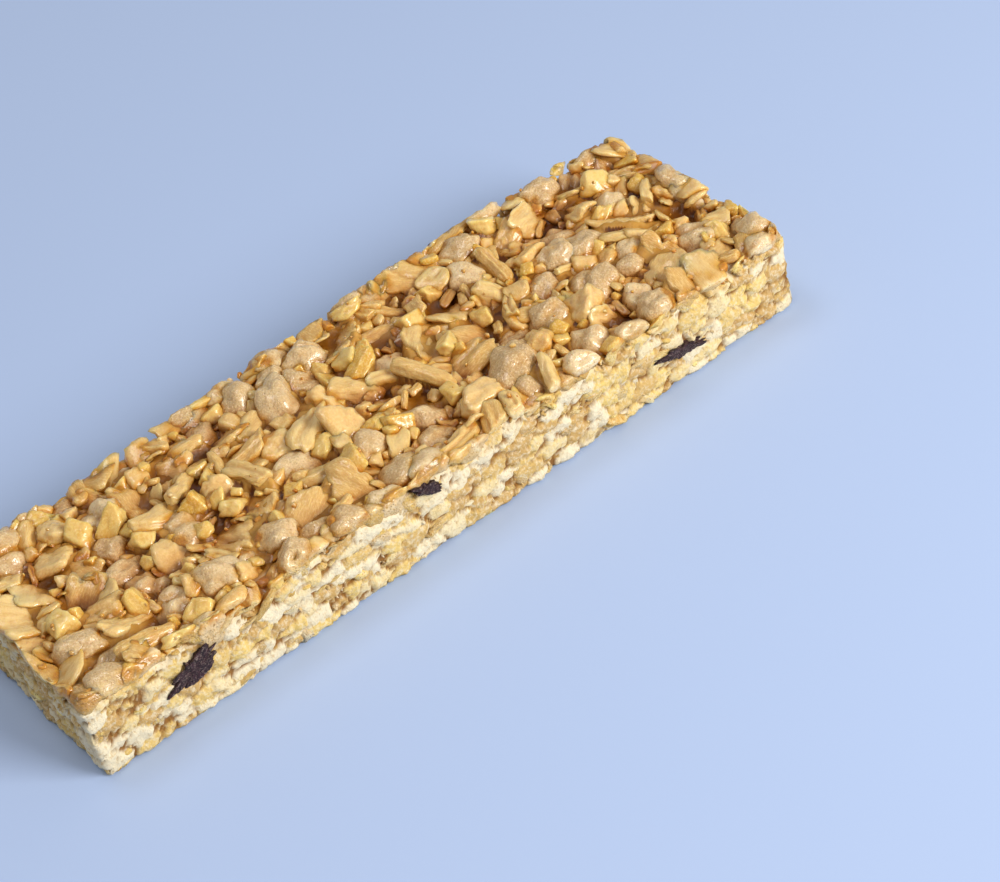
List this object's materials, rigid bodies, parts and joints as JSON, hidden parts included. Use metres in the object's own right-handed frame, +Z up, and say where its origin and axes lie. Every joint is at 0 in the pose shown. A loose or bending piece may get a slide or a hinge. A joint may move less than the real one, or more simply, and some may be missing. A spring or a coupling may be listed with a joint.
{
  "type": "granola bar",
  "caption": "Flat oblong snack bar of puffed grains, oat flakes and corn bits pressed together with syrup and cut square on the sides, to be eaten by hand.",
  "frame": {"origin": "middle of the flat underside", "axes": "+X along the bar from the near end to the far end, +Y across it towards the bowed side, +Z up through the grainy top"},
  "size_m": [0.115, 0.0394, 0.0138],
  "materials": {
    "toasted_grain": "pale toasted grains in a glossy amber syrup, satin where cut"
  },
  "bodies": {
    "root": {"granola_bar": "toasted_grain"}
  },
  "joints": []
}
